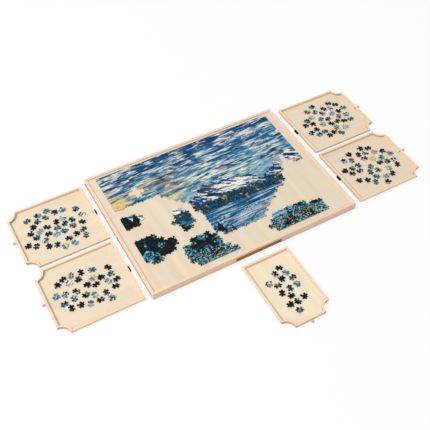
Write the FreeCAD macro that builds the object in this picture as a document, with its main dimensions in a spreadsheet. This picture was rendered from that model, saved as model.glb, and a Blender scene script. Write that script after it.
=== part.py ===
import FreeCAD, Part
import math
import os
import random
import Sketcher

# Jigsaw puzzle storage case: a framed work board on a low wooden case, with five trays that
# slide in under it, two from the left, two from the right and one from the front.
# Millimetres. X runs along the case, Y to its back, Z up; the origin is on the table, under the
# middle of the case. The trays are drawn pulled out, clear of the case.

doc = FreeCAD.newDocument("PuzzleCase")

dimensions = {
    # puzzle that the case is made for
    "puzzleLength": 686,
    "puzzleWidth": 502,
    "puzzleShift": 4,
    "puzzleColumns": 38,
    "puzzleRows": 27,
    "cardThickness": 2,
    "tabRadius": 2.5,
    "tabReach": 4.1,
    # case frame
    "endMargin": 27,
    "sideMargin": 13,
    "caseHeight": 27,
    "rimWidth": 10,
    "edgeRound": 0.8,
    # work board, held in a groove of the frame
    "boardThickness": 5,
    "boardRecess": 4,
    "grooveDepth": 4,
    "grooveClearance": 0.3,
    # rails under the board
    "midRailWidth": 12,
    "dividerWidth": 12.7,
    "stopRailWidth": 16,
    "frontSlotWidth": 172,
    # runner strips that the trays hang on when the case is lifted
    "runnerWidth": 4.2,
    "runnerGap": 0.4,
    "runnerSideGap": 0.9,
    # trays
    "sideClearance": 0.6,
    "frontTrayLength": 264,
    "trayFloorThickness": 4,
    "trayRailHeight": 8,
    "trayRailWidth": 7,
    "notchRadius": 32,
    "notchWall": 6,
    "leftPull": 18,
    "rightPull": 33.5,
    "frontPull": 31,
    # turned knob
    "knobLength": 12,
    "knobRadius": 5,
    "knobFootRadius": 3.6,
    "knobNeckRadius": 2.7,
    "knobNeckAt": 3,
    "knobBellyAt": 7.5,
    "knobBellyHalf": 2,
    "knobShoulder": 0.5,
    "knobTipRadius": 2.4,
    # screw that holds the knob from inside the tray
    "screwShankRadius": 1.3,
    "screwBite": 7,
    "screwHeadRadius": 3,
    "screwHeadHeight": 1.5,
    "screwHeadRound": 0.6,
    "boreClearance": 0.1,
    # magnet block on each side tray, strike plate in the case
    "magnetLength": 20,
    "magnetDepth": 5.5,
    "magnetHeight": 7.8,
    "magnetLift": 0.9,
    "closedGap": 0.3,
    "strikeLength": 24,
    "strikeHeight": 7,
    "strikeThickness": 1.5,
    "strikeScrewSpacing": 15,
    "strikeScrewLength": 9,
    "strikeScrewRadius": 1.1,
    "strikeScrewHeadRadius": 2.1,
    # loose pieces: staggered rows in an ellipse, strewn about and eased apart
    "scatterAlong": 33,
    "scatterAcross": 28.5,
    "scatterStray": 11,
    "scatterSlack": 0.2,
    "scatterRailGap": 1,
    "leftBackEndMargin": 18,
    "leftBackSideMargin": 26,
    "leftFrontEndMargin": 26,
    "leftFrontSideMargin": 36,
    "rightEndMargin": 30,
    "rightSideMargin": 26,
    "frontEndMargin": 28,
    "frontSideMargin": 25,
}

# Sizes that follow from the driving ones: what fits in, seats on or lines up with a neighbour.
fits = {
    "caseLength": "=Dims.puzzleLength + 2 * Dims.endMargin + 2 * Dims.rimWidth",
    "caseWidth": "=Dims.puzzleWidth + 2 * Dims.sideMargin + 2 * Dims.rimWidth",
    "boardTop": "=Dims.caseHeight - Dims.boardRecess",
    "boardBottom": "=Dims.caseHeight - Dims.boardRecess - Dims.boardThickness",
    "innerLength": "=Fits.caseLength - 2 * Dims.rimWidth",
    "innerWidth": "=Fits.caseWidth - 2 * Dims.rimWidth",
    "sideSlotWidth": "=(Fits.caseWidth - 2 * Dims.rimWidth - Dims.midRailWidth) / 2",
    "sideBayCentre": "=Dims.midRailWidth / 2 + Fits.sideSlotWidth / 2",
    "dividerFace": "=Dims.frontSlotWidth / 2 + Dims.dividerWidth",
    "sideTrayLength": "=Fits.caseLength / 2 - Fits.dividerFace - Dims.strikeThickness"
                      " - Dims.closedGap - Dims.magnetDepth",
    "sideTrayWidth": "=Fits.sideSlotWidth - 2 * Dims.sideClearance",
    "frontTrayWidth": "=Dims.frontSlotWidth - 2 * Dims.sideClearance",
    "stopFace": "=Dims.frontTrayLength + Dims.closedGap - Fits.caseWidth / 2",
    "railTop": "=Dims.trayFloorThickness + Dims.trayRailHeight",
    "runnerHeight": "=Dims.trayFloorThickness - Dims.runnerGap",
    "floorInset": "=Dims.runnerWidth + Dims.runnerSideGap - Dims.sideClearance",
    "knobAxis": "=Dims.trayFloorThickness + Dims.trayRailHeight / 2",
    "magnetAxis": "=Dims.magnetLift + Dims.magnetHeight / 2",
    "notchReach": "=Dims.notchRadius + Dims.notchWall",
    "pieceLength": "=Dims.puzzleLength / Dims.puzzleColumns",
    "pieceWidth": "=Dims.puzzleWidth / Dims.puzzleRows",
    "pieceReach": "=max(Fits.pieceLength; Fits.pieceWidth) / 2 + Dims.tabReach",
    "scatterSpacing": "=2 * Fits.pieceReach + Dims.scatterSlack",
    "scatterClear": "=Dims.trayRailWidth + Fits.pieceReach + Dims.scatterRailGap",
}

upright = FreeCAD.Vector(0, 0, 1)
overrun = 1.0       # how far a cutting sketch runs past the faces it cuts
long_edge = 12.0    # shorter edges stay sharp when the top of a rail is rounded
level_within = 0.01     # how closely an edge must lie in the top face
ease_rounds = 80


def add_sheet(name, cells):
    sheet = doc.addObject("Spreadsheet::Sheet", name)
    for row, (alias, content) in enumerate(cells.items(), start=1):
        sheet.set("A%d" % row, str(content))
        sheet.setAlias("A%d" % row, alias)
    doc.recompute()
    return sheet


dims = add_sheet("Dims", dimensions)
add_sheet("Fits", fits)
nodes = []


def value(expression):
    """The number that an expression on the sheets gives."""
    return float(dims.evalExpression(str(expression)))


def keep(label, solid, seat=None):
    """Name a finished sub-part, and set it on its tray's seat if it has one."""
    solid.Label = label
    if seat:
        place(solid, seat["base"], seat["turn"])
    nodes.append(solid)
    return solid


def place(solid, base, turn=0.0, axis=upright):
    """Put a solid at a base point given as three expressions, turned about an axis."""
    solid.Placement = FreeCAD.Placement(FreeCAD.Vector(), FreeCAD.Rotation(axis, turn))
    for letter, expression in zip("xyz", base):
        solid.setExpression("Placement.Base." + letter, str(expression))


def box(name, size, base):
    solid = doc.addObject("Part::Box", name)
    for side, expression in zip(("Length", "Width", "Height"), size):
        solid.setExpression(side, str(expression))
    place(solid, base)
    return solid


def cylinder(name, radius, height, base, turn=0.0, axis=upright):
    solid = doc.addObject("Part::Cylinder", name)
    solid.setExpression("Radius", str(radius))
    solid.setExpression("Height", str(height))
    place(solid, base, turn, axis)
    return solid


def compound(name, solids):
    group = doc.addObject("Part::Compound", name)
    group.Links = solids
    return group


def cut(name, base, tools):
    result = doc.addObject("Part::Cut", name)
    result.Base = base
    result.Tool = compound(name + "_tools", tools) if len(tools) > 1 else tools[0]
    return result


def mirrored(name, source):
    """A copy of a solid on the other side of its own XZ plane."""
    copy = doc.addObject("Part::Mirroring", name)
    copy.Source = source
    copy.Normal = FreeCAD.Vector(0, 1, 0)
    return copy


def new_sketch(body, name, lift="0"):
    """A sketch on the body's own XY plane, raised by an expression."""
    sketch = body.newObject("Sketcher::SketchObject", name)
    plane = [item for item in body.Origin.OriginFeatures if item.Role == "XY_Plane"][0]
    sketch.AttachmentSupport = [(plane, "")]
    sketch.MapMode = "FlatFace"
    sketch.setExpression("AttachmentOffset.Base.z", str(lift))
    return sketch


def fix_point(sketch, line, point, corner):
    """Tie a sketch point to the origin by two expressions."""
    for kind, expression in zip(("DistanceX", "DistanceY"), corner):
        constraint = Sketcher.Constraint(kind, -1, 1, line, point, value(expression))
        index = sketch.addConstraint(constraint)
        sketch.setExpression("Constraints[%d]" % index, str(expression))


def polygon(body, name, corners, lift="0"):
    """A closed outline through corners that are pairs of expressions."""
    sketch = new_sketch(body, name, lift)
    points = [FreeCAD.Vector(value(x), value(y), 0) for x, y in corners]
    count = len(points)
    for index in range(count):
        line = Part.LineSegment(points[index], points[(index + 1) % count])
        sketch.addGeometry(line, False)
    for index in range(count):
        sketch.addConstraint(Sketcher.Constraint("Coincident", index, 2, (index + 1) % count, 1))
        fix_point(sketch, index, 1, corners[index])
    return sketch


def circle(body, name, centre, radius, lift="0"):
    sketch = new_sketch(body, name, lift)
    middle = FreeCAD.Vector(value(centre[0]), value(centre[1]), 0)
    sketch.addGeometry(Part.Circle(middle, upright, value(radius)), False)
    fix_point(sketch, 0, 3, centre)
    index = sketch.addConstraint(Sketcher.Constraint("Radius", 0, value(radius)))
    sketch.setExpression("Constraints[%d]" % index, str(radius))
    return sketch


def rectangle(x_low, x_high, y_low, y_high):
    return [(x_low, y_low), (x_high, y_low), (x_high, y_high), (x_low, y_high)]


def pad(body, sketch, length):
    feature = body.newObject("PartDesign::Pad", body.Name + "_pad")
    feature.Profile = sketch
    feature.setExpression("Length", str(length))
    sketch.Visibility = False
    return feature


def pocket(body, sketch, depth):
    """Cut upwards from the sketch, and stop if nothing was cut."""
    doc.recompute()
    before = body.Shape.Volume
    feature = body.newObject("PartDesign::Pocket", body.Name + "_pocket")
    feature.Profile = sketch
    feature.Reversed = True
    feature.setExpression("Length", str(depth))
    doc.recompute()
    if body.Shape.Volume >= before:
        raise RuntimeError("%s removes nothing" % feature.Name)
    return feature


def round_top(body, feature):
    """Round the long edges of the top face of a body."""
    doc.recompute()
    top = feature.Shape.BoundBox.ZMax
    chosen = []
    for number, edge in enumerate(feature.Shape.Edges, start=1):
        is_level = edge.BoundBox.ZMin > top - level_within
        if is_level and edge.Length > long_edge:
            chosen.append("Edge%d" % number)
    fillet = body.newObject("PartDesign::Fillet", body.Name + "_round")
    fillet.Base = (feature, chosen)
    fillet.setExpression("Radius", "Dims.edgeRound")
    return fillet


# ---- case frame ----

def rim_rail(label, run, inner_run, base, turn, slots):
    """A mitred frame rail along X: outer face at y = 0, inner face at y = rimWidth. Each slot
    is milled up to the board, and a groove on the inside takes the edge of the board."""
    body = doc.addObject("PartDesign::Body", label + "_body")
    corners = [("-(%s) / 2" % run, "0"), ("(%s) / 2" % run, "0"),
               ("(%s) / 2" % inner_run, "Dims.rimWidth"),
               ("-(%s) / 2" % inner_run, "Dims.rimWidth")]
    feature = pad(body, polygon(body, label + "_plan", corners), "Dims.caseHeight")
    for number, (middle, width) in enumerate(slots):
        mouth = rectangle("%s - %s / 2" % (middle, width), "%s + %s / 2" % (middle, width),
                          "-%s" % overrun, "Dims.rimWidth + %s" % overrun)
        outline = polygon(body, "%s_slot%d" % (label, number), mouth)
        feature = pocket(body, outline, "Fits.boardBottom")
    groove = rectangle("-(%s) / 2 - Dims.grooveDepth" % inner_run,
                       "(%s) / 2 + Dims.grooveDepth" % inner_run,
                       "Dims.rimWidth - Dims.grooveDepth", "Dims.rimWidth + %s" % overrun)
    outline = polygon(body, label + "_groove", groove, "Fits.boardBottom")
    feature = pocket(body, outline, "Dims.boardThickness")
    round_top(body, feature)
    place(body, base, turn)
    return keep(label, body)


def build_frame():
    side_slots = [("-Fits.sideBayCentre", "Fits.sideSlotWidth"),
                  ("Fits.sideBayCentre", "Fits.sideSlotWidth")]
    rim_rail("rim_rail_front", "Fits.caseLength", "Fits.innerLength",
             ("0", "-Fits.caseWidth / 2", "0"), 0, [("0", "Dims.frontSlotWidth")])
    rim_rail("rim_rail_back", "Fits.caseLength", "Fits.innerLength",
             ("0", "Fits.caseWidth / 2", "0"), 180, [])
    rim_rail("rim_rail_right", "Fits.caseWidth", "Fits.innerWidth",
             ("Fits.caseLength / 2", "0", "0"), 90, side_slots)
    rim_rail("rim_rail_left", "Fits.caseWidth", "Fits.innerWidth",
             ("-Fits.caseLength / 2", "0", "0"), -90, side_slots)


def build_board():
    body = doc.addObject("PartDesign::Body", "work_board_body")
    bite = "Dims.grooveDepth + Dims.grooveClearance"
    half_length = "Fits.innerLength / 2 + (%s)" % bite.replace("+", "-")
    half_width = "Fits.innerWidth / 2 + (%s)" % bite.replace("+", "-")
    plan = rectangle("-(%s)" % half_length, half_length, "-(%s)" % half_width, half_width)
    pad(body, polygon(body, "work_board_plan", plan, "Fits.boardBottom"), "Dims.boardThickness")
    keep("work_board", body)


# ---- rails, runners and strike plates under the board ----

def strike_screw(name, base, turn, extra=0.0):
    """A countersunk screw along its own +Z, pointing into the rail; extra widens its bore."""
    head_height = "Dims.strikeThickness"
    cone = doc.addObject("Part::Cone", name + "_head")
    cone.setExpression("Radius1", "Dims.strikeScrewHeadRadius + %s" % extra)
    cone.setExpression("Radius2", "Dims.strikeScrewRadius + %s" % extra)
    cone.setExpression("Height", head_height)
    shank = cylinder(name + "_shank", "Dims.strikeScrewRadius + %s" % extra,
                     "Dims.strikeScrewLength - Dims.strikeThickness + %s" % extra,
                     ("0", "0", head_height))
    screw = doc.addObject("Part::Fuse", name)
    screw.Base = cone
    screw.Tool = shank
    place(screw, base, 90, turn)
    return screw


def strike_places():
    """Where each strike plate's outer face stands, and its side of the case."""
    spots = []
    for side in (-1, 1):
        for row in (-1, 1):
            spots.append({"x": "%d * (Fits.dividerFace + Dims.strikeThickness)" % side,
                          "y": "%d * Fits.sideBayCentre" % row, "side": side})
    return spots


def strike_screws(prefix, spot, extra):
    """The two screws of a plate, side by side along it and pointing to the case's middle."""
    turn = FreeCAD.Vector(0, -spot["side"], 0)
    screws = []
    for end in (-1, 1):
        base = (spot["x"], "%s + %d * Dims.strikeScrewSpacing / 2" % (spot["y"], end),
                "Fits.magnetAxis")
        screws.append(strike_screw("%s_%d" % (prefix, end + 1), base, turn, extra))
    return screws


def strike_plate(number, spot):
    corner_x = spot["x"] + (" - Dims.strikeThickness" if spot["side"] > 0 else "")
    blank = box("strike_blank_%d" % number,
                ("Dims.strikeThickness", "Dims.strikeLength", "Dims.strikeHeight"),
                (corner_x, spot["y"] + " - Dims.strikeLength / 2",
                 "Fits.magnetAxis - Dims.strikeHeight / 2"))
    bores = strike_screws("plate_bore_%d" % number, spot, value("Dims.boreClearance"))
    return cut("strike_plate_%d" % number, blank, bores)


def build_rails():
    spots = strike_places()
    clearance = value("Dims.boreClearance")
    length = "Fits.innerLength / 2 - Fits.dividerFace"
    for side, name in ((-1, "left"), (1, "right")):
        low = "-Fits.dividerFace" if side < 0 else "Dims.frontSlotWidth / 2"
        blank = box("divider_blank_" + name, ("Dims.dividerWidth", "Fits.innerWidth",
                                              "Fits.boardBottom"), (low, "-Fits.innerWidth / 2", "0"))
        bores = []
        for number, spot in enumerate(spots):
            if spot["side"] == side:
                bores += strike_screws("divider_bore_%d" % number, spot, clearance)
        keep("divider_" + name, cut("divider_cut_" + name, blank, bores))
        low = "-Fits.innerLength / 2" if side < 0 else "Fits.dividerFace"
        rail = box("mid_rail_" + name, (length, "Dims.midRailWidth", "Fits.boardBottom"),
                   (low, "-Dims.midRailWidth / 2", "0"))
        keep("mid_rail_" + name, rail)
    rail = box("front_stop", ("Dims.frontSlotWidth", "Dims.stopRailWidth", "Fits.boardBottom"),
               ("-Dims.frontSlotWidth / 2", "Fits.stopFace", "0"))
    keep("front_stop_rail", rail)
    plates = [strike_plate(number, spot) for number, spot in enumerate(spots)]
    keep("strike_plates", compound("strike_plate_set", plates))
    screws = []
    for number, spot in enumerate(spots):
        screws += strike_screws("strike_screw_%d" % number, spot, 0.0)
    keep("strike_plate_screws", compound("strike_screw_set", screws))


def build_runners():
    """Strips along both sides of each bay, under the edges of the tray's rails."""
    strips = []
    length = "Fits.caseLength / 2 - Fits.dividerFace"
    for side in (-1, 1):
        start = "-Fits.caseLength / 2" if side < 0 else "Fits.dividerFace"
        edges = ("-Fits.innerWidth / 2", "-Dims.midRailWidth / 2 - Dims.runnerWidth",
                 "Dims.midRailWidth / 2", "Fits.innerWidth / 2 - Dims.runnerWidth")
        for number, edge in enumerate(edges):
            strips.append(box("side_runner_%d_%d" % (side + 1, number),
                              (length, "Dims.runnerWidth", "Fits.runnerHeight"),
                              (start, edge, "0")))
    for edge in ("-Dims.frontSlotWidth / 2", "Dims.frontSlotWidth / 2 - Dims.runnerWidth"):
        strips.append(box("front_runner_%d" % len(strips),
                          ("Dims.runnerWidth", "Fits.caseWidth / 2 + Fits.stopFace",
                           "Fits.runnerHeight"), (edge, "-Fits.caseWidth / 2", "0")))
    keep("runner_strips", compound("runner_strip_set", strips))


# ---- trays: local X runs out of the case from the tray's inner end, Y across it ----

def notch_cutters(name, radius, tray):
    """Upright cylinders on the two outer corners of a tray."""
    height = "Fits.railTop + 2 * %s" % overrun
    return [cylinder("%s_%d" % (name, side + 1), radius, height,
                     (tray["length"], "%d * %s / 2" % (side, tray["width"]), "-%s" % overrun))
            for side in (-1, 1)]


def tray_floor(tray):
    name = tray["name"] + "_floor"
    blank = box(name + "_blank",
                (tray["length"], "%s - 2 * Fits.floorInset" % tray["width"],
                 "Dims.trayFloorThickness"),
                ("0", "Fits.floorInset - %s / 2" % tray["width"], "0"))
    solid = cut(name + "_cut", blank, notch_cutters(name + "_notch", "Dims.notchRadius", tray))
    keep(name, solid, tray)


def tray_side_rails(tray):
    """One rail down each long side, ending against the notch wall, and its mirror image."""
    name = tray["name"] + "_side_rails"
    body = doc.addObject("PartDesign::Body", name + "_body")
    half = tray["width"] + " / 2"
    plan = rectangle("0", "%s - Dims.notchRadius" % tray["length"],
                     "%s - Dims.trayRailWidth" % half, half)
    pad(body, polygon(body, name + "_plan", plan, "Dims.trayFloorThickness"),
        "Dims.trayRailHeight")
    outline = circle(body, name + "_end", (tray["length"], half), "Fits.notchReach",
                     "Dims.trayFloorThickness - %s" % overrun)
    feature = pocket(body, outline, "Dims.trayRailHeight + 2 * %s" % overrun)
    round_top(body, feature)
    keep(name, compound(name + "_pair", [body, mirrored(name + "_mirror", body)]), tray)


def tray_notch_walls(tray):
    """A quarter ring round each notch, on the rim of the floor."""
    name = tray["name"] + "_notch_walls"
    body = doc.addObject("PartDesign::Body", name + "_body")
    half = tray["width"] + " / 2"
    reach = "Fits.notchReach"
    plan = rectangle("%s - %s" % (tray["length"], reach), tray["length"],
                     "%s - %s" % (half, reach), half)
    pad(body, polygon(body, name + "_plan", plan, "Dims.trayFloorThickness"),
        "Dims.trayRailHeight")
    sketch = circle(body, name + "_notch", (tray["length"], half), "Dims.notchRadius",
                    "Dims.trayFloorThickness - %s" % overrun)
    pocket(body, sketch, "Dims.trayRailHeight + 2 * %s" % overrun)
    ring = new_sketch(body, name + "_outside", "Dims.trayFloorThickness - %s" % overrun)
    feature = ring_trim(body, ring, tray, half)
    round_top(body, feature)
    keep(name, compound(name + "_pair", [body, mirrored(name + "_mirror", body)]), tray)


def ring_trim(body, sketch, tray, half):
    """Trim the corner block to a quarter disc of the notch wall's outer radius."""
    radius = value("Fits.notchReach")
    middle = FreeCAD.Vector(value(tray["length"]), value(half), 0)
    sketch.addGeometry(Part.Circle(middle, upright, radius), False)
    sketch.addGeometry(Part.Circle(middle, upright, 2 * radius), False)
    for index, factor in ((0, 1), (1, 2)):
        fix_point(sketch, index, 3, (tray["length"], half))
        size = "%d * Fits.notchReach" % factor
        constraint = sketch.addConstraint(Sketcher.Constraint("Radius", index, value(size)))
        sketch.setExpression("Constraints[%d]" % constraint, size)
    return pocket(body, sketch, "Dims.trayRailHeight + 2 * %s" % overrun)


def tray_end_rails(tray):
    half = tray["width"] + " / 2"
    name = tray["name"] + "_inner_rail"
    body = doc.addObject("PartDesign::Body", name + "_body")
    reach = "(%s - Dims.trayRailWidth)" % half
    plan = rectangle("0", "Dims.trayRailWidth", "-" + reach, reach)
    feature = pad(body, polygon(body, name + "_plan", plan, "Dims.trayFloorThickness"),
                  "Dims.trayRailHeight")
    round_top(body, feature)
    keep(name, body, tray)
    name = tray["name"] + "_outer_rail"
    reach = "(%s - Dims.notchRadius)" % half
    blank = box(name + "_blank",
                ("Dims.trayRailWidth", "2 * " + reach, "Dims.trayRailHeight"),
                ("%s - Dims.trayRailWidth" % tray["length"], "-" + reach,
                 "Dims.trayFloorThickness"))
    cutters = notch_cutters(name + "_end", "Fits.notchReach", tray)
    cutters.append(cylinder(name + "_bore", "Dims.screwShankRadius + Dims.boreClearance",
                            "Dims.trayRailWidth + 2 * %s" % overrun,
                            ("%s - Dims.trayRailWidth - %s" % (tray["length"], overrun), "0",
                             "Fits.knobAxis"), 90, FreeCAD.Vector(0, 1, 0)))
    keep(name, cut(name + "_cut", blank, cutters), tray)


def turned(name, profile, start):
    """A solid of revolution about X: the profile gives pairs of distance along it and radius."""
    body = doc.addObject("PartDesign::Body", name + "_body")
    sketch = polygon(body, name + "_profile", profile)
    feature = body.newObject("PartDesign::Revolution", name + "_turn")
    feature.Profile = sketch
    feature.ReferenceAxis = (sketch, ["H_Axis"])
    feature.Angle = 360
    place(body, start)
    return compound(name + "_set", [body])


def tray_knob(tray):
    bore = "Dims.screwShankRadius + Dims.boreClearance"
    depth = "Dims.screwBite + Dims.boreClearance"
    profile = [("0", bore), ("0", "Dims.knobFootRadius"),
               ("Dims.knobNeckAt", "Dims.knobNeckRadius"),
               ("Dims.knobBellyAt - Dims.knobBellyHalf", "Dims.knobRadius - Dims.knobShoulder"),
               ("Dims.knobBellyAt", "Dims.knobRadius"),
               ("Dims.knobBellyAt + Dims.knobBellyHalf", "Dims.knobRadius - Dims.knobShoulder"),
               ("Dims.knobLength", "Dims.knobTipRadius"), ("Dims.knobLength", "0"),
               (depth, "0"), (depth, bore)]
    start = (tray["length"], "0", "Fits.knobAxis")
    keep(tray["name"] + "_knob", turned(tray["name"] + "_knob", profile, start), tray)
    run = "Dims.trayRailWidth + Dims.screwBite"
    profile = [("0", "0"), ("0", "Dims.screwHeadRadius - Dims.screwHeadRound"),
               ("Dims.screwHeadRound", "Dims.screwHeadRadius"),
               ("Dims.screwHeadHeight", "Dims.screwHeadRadius"),
               ("Dims.screwHeadHeight", "Dims.screwShankRadius"),
               ("Dims.screwHeadHeight + " + run, "Dims.screwShankRadius"),
               ("Dims.screwHeadHeight + " + run, "0")]
    start = ("%s - Dims.trayRailWidth - Dims.screwHeadHeight" % tray["length"], "0",
             "Fits.knobAxis")
    name = tray["name"] + "_knob_screw"
    keep(name, turned(name, profile, start), tray)


def tray_magnet(tray):
    name = tray["name"] + "_magnet"
    body = doc.addObject("PartDesign::Body", name + "_body")
    plan = rectangle("-Dims.magnetDepth", "0", "-Dims.magnetLength / 2", "Dims.magnetLength / 2")
    feature = pad(body, polygon(body, name + "_plan", plan, "Dims.magnetLift"),
                  "Dims.magnetHeight")
    round_top(body, feature)
    keep(name, body, tray)


# ---- puzzle ----

def loose_spots(tray):
    """Staggered rows of pieces in an ellipse, strewn about and eased apart until their middles
    keep the spacing, with all of them clear of the tray's rails."""
    chance = random.Random(tray["seed"])
    wide = value("%s / 2 - Dims.trayRailWidth - %s" % (tray["length"], tray["margins"][0]))
    deep = value("%s / 2 - Dims.trayRailWidth - %s" % (tray["width"], tray["margins"][1]))
    pitch_along = value("Dims.scatterAlong")
    pitch_across = value("Dims.scatterAcross")
    stray = value("Dims.scatterStray")
    tilt = math.radians(tray["tilt"])
    spots = []
    for row in range(-5, 6):
        for column in range(-5, 6):
            along = (column + 0.5 * (row % 2)) * pitch_along
            across = row * pitch_across
            x = along * math.cos(tilt) - across * math.sin(tilt)
            y = along * math.sin(tilt) + across * math.cos(tilt)
            shift_x = chance.uniform(-stray, stray)
            shift_y = chance.uniform(-stray, stray)
            turn = chance.uniform(0, 360)
            kind = chance.randrange(4)
            if (x / wide) ** 2 + (y / deep) ** 2 <= 1:
                spots.append([x + shift_x, y + shift_y, turn, kind])
    limits = (value("%s / 2 - Fits.scatterClear" % tray["length"]),
              value("%s / 2 - Fits.scatterClear" % tray["width"]))
    ease_apart(spots, value("Fits.scatterSpacing"), limits)
    return spots


def ease_apart(spots, spacing, limits):
    """Move pairs that are too near apart by half of what they lack each, round after round, and
    hold every spot within the limits."""
    for _ in range(ease_rounds):
        for index, spot in enumerate(spots):
            for other in spots[:index]:
                way = (spot[0] - other[0], spot[1] - other[1])
                apart = math.hypot(way[0], way[1])
                if apart < spacing:
                    push = 0.5 * (spacing - apart) / apart
                    for axis in (0, 1):
                        spot[axis] += push * way[axis]
                        other[axis] -= push * way[axis]
        for spot in spots:
            for axis in (0, 1):
                spot[axis] = max(-limits[axis], min(limits[axis], spot[axis]))


def piece_blank(kind):
    """One cut card: tabs on some sides and sockets in the others, by kind."""
    length = value("Fits.pieceLength")
    width = value("Fits.pieceWidth")
    thick = value("Dims.cardThickness")
    radius = value("Dims.tabRadius")
    offset = value("Dims.tabReach") - radius
    card = Part.makeBox(length, width, thick, FreeCAD.Vector(-length / 2, -width / 2, 0))
    tab_sides = ((0, 2), (0, 1), (1, 3), (0, 1, 2))[kind]
    tabs = []
    sockets = []
    for side in range(4):
        angle = math.radians(90 * side)
        half = (length if side % 2 == 0 else width) / 2
        reach = half + offset if side in tab_sides else half - offset
        middle = FreeCAD.Vector(reach * math.cos(angle), reach * math.sin(angle), 0)
        disc = Part.makeCylinder(radius, thick, middle)
        (tabs if side in tab_sides else sockets).append(disc)
    return card.cut(sockets).fuse(tabs).removeSplitter()


def build_loose_pieces(trays):
    blanks = [piece_blank(kind) for kind in range(4)]
    floor = value("Dims.trayFloorThickness")
    for tray in trays:
        middle = value(tray["length"]) / 2
        pieces = []
        for x, y, turn, kind in loose_spots(tray):
            piece = blanks[kind].copy()
            spin = FreeCAD.Rotation(upright, turn)
            piece.Placement = FreeCAD.Placement(FreeCAD.Vector(middle + x, y, floor), spin)
            pieces.append(piece)
        feature = doc.addObject("Part::Feature", tray["name"] + "_loose_set")
        feature.Shape = Part.makeCompound(pieces)
        keep(tray["name"] + "_loose_pieces", feature, tray)


# The front edge of the finished part of the picture, left to right, as shares of the puzzle's
# length and width, and the islands that are joined but not yet linked to it.
finished_edge = [(0.00, 0.67), (0.18, 0.67), (0.24, 0.66), (0.28, 0.57), (0.33, 0.50),
                 (0.36, 0.38), (0.38, 0.17), (0.44, 0.14), (0.56, 0.16), (0.64, 0.16),
                 (0.68, 0.24), (0.75, 0.30), (0.84, 0.38), (0.88, 0.52), (0.92, 0.62),
                 (0.94, 0.50), (1.00, 0.50)]
islands = [(0.03, 0.54, 0.07, 0.07), (0.06, 0.27, 0.08, 0.11), (0.13, 0.25, 0.06, 0.06),
           (0.27, 0.39, 0.05, 0.09), (0.28, 0.10, 0.10, 0.12), (0.35, 0.03, 0.06, 0.05),
           (0.77, 0.05, 0.16, 0.09), (0.70, 0.08, 0.07, 0.07)]
gap_in_sky = (0.145, 0.76, 0.03, 0.05)


def is_joined(across, along):
    """Whether the cell at these shares of length and width is part of the finished area."""
    for left, right in zip(finished_edge, finished_edge[1:]):
        if left[0] <= across <= right[0]:
            share = (across - left[0]) / (right[0] - left[0])
            edge = left[1] + share * (right[1] - left[1])
    inside = [((across - x) / reach_x) ** 2 + ((along - y) / reach_y) ** 2 <= 1
              for x, y, reach_x, reach_y in islands + [gap_in_sky]]
    return (along >= edge and not inside[-1]) or any(inside[:-1])


def build_assembled_puzzle():
    """The joined cards as flat plates, one strip for each run of cells in a row."""
    columns = int(value("Dims.puzzleColumns"))
    rows = int(value("Dims.puzzleRows"))
    length = value("Fits.pieceLength")
    width = value("Fits.pieceWidth")
    corner = FreeCAD.Vector(value("-Dims.puzzleLength / 2"),
                            value("Dims.puzzleShift - Dims.puzzleWidth / 2"),
                            value("Fits.boardTop"))
    strips = []
    for row in range(rows):
        joined = [is_joined((column + 0.5) / columns, (row + 0.5) / rows)
                  for column in range(columns)] + [False]
        start = None
        for column, filled in enumerate(joined):
            if filled and start is None:
                start = column
            if not filled and start is not None:
                base = corner + FreeCAD.Vector(start * length, row * width, 0)
                strips.append(Part.makeBox((column - start) * length, width,
                                           value("Dims.cardThickness"), base))
                start = None
    feature = doc.addObject("Part::Feature", "assembled_set")
    feature.Shape = Part.makeCompound(strips[0].multiFuse(strips[1:]).removeSplitter().Solids)
    keep("assembled_puzzle", feature)


# ---- assembly ----

trays = [
    {"name": "left_back_tray", "length": "Fits.sideTrayLength", "width": "Fits.sideTrayWidth",
     "base": ("-Fits.caseLength / 2 - Dims.leftPull", "Fits.sideBayCentre", "0"), "turn": 180,
     "seed": 3, "margins": ("Dims.leftBackEndMargin", "Dims.leftBackSideMargin"), "tilt": 12},
    {"name": "left_front_tray", "length": "Fits.sideTrayLength", "width": "Fits.sideTrayWidth",
     "base": ("-Fits.caseLength / 2 - Dims.leftPull", "-Fits.sideBayCentre", "0"), "turn": 180,
     "seed": 5, "margins": ("Dims.leftFrontEndMargin", "Dims.leftFrontSideMargin"), "tilt": -9},
    {"name": "right_back_tray", "length": "Fits.sideTrayLength", "width": "Fits.sideTrayWidth",
     "base": ("Fits.caseLength / 2 + Dims.rightPull", "Fits.sideBayCentre", "0"), "turn": 0,
     "seed": 8, "margins": ("Dims.rightEndMargin", "Dims.rightSideMargin"), "tilt": 17},
    {"name": "right_front_tray", "length": "Fits.sideTrayLength", "width": "Fits.sideTrayWidth",
     "base": ("Fits.caseLength / 2 + Dims.rightPull", "-Fits.sideBayCentre", "0"), "turn": 0,
     "seed": 13, "margins": ("Dims.rightEndMargin", "Dims.rightSideMargin"), "tilt": -14},
    {"name": "front_tray", "length": "Dims.frontTrayLength", "width": "Fits.frontTrayWidth",
     "base": ("0", "-Fits.caseWidth / 2 - Dims.frontPull", "0"), "turn": -90,
     "seed": 21, "margins": ("Dims.frontEndMargin", "Dims.frontSideMargin"), "tilt": 6},
]

build_frame()
build_board()
build_rails()
build_runners()
for tray in trays:
    tray_floor(tray)
    tray_side_rails(tray)
    tray_end_rails(tray)
    tray_notch_walls(tray)
    tray_knob(tray)
for tray in trays[:4]:      # the front tray has no catch
    tray_magnet(tray)
build_loose_pieces(trays)
build_assembled_puzzle()
doc.recompute()

for item in doc.Objects:
    if "Invalid" in item.State or "Error" in item.State:
        raise RuntimeError("%s failed: %s" % (item.Name, item.State))
for node in nodes:
    if node.Shape.isNull() or not node.Shape.isValid():
        raise RuntimeError("%s has no valid shape" % node.Label)

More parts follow.
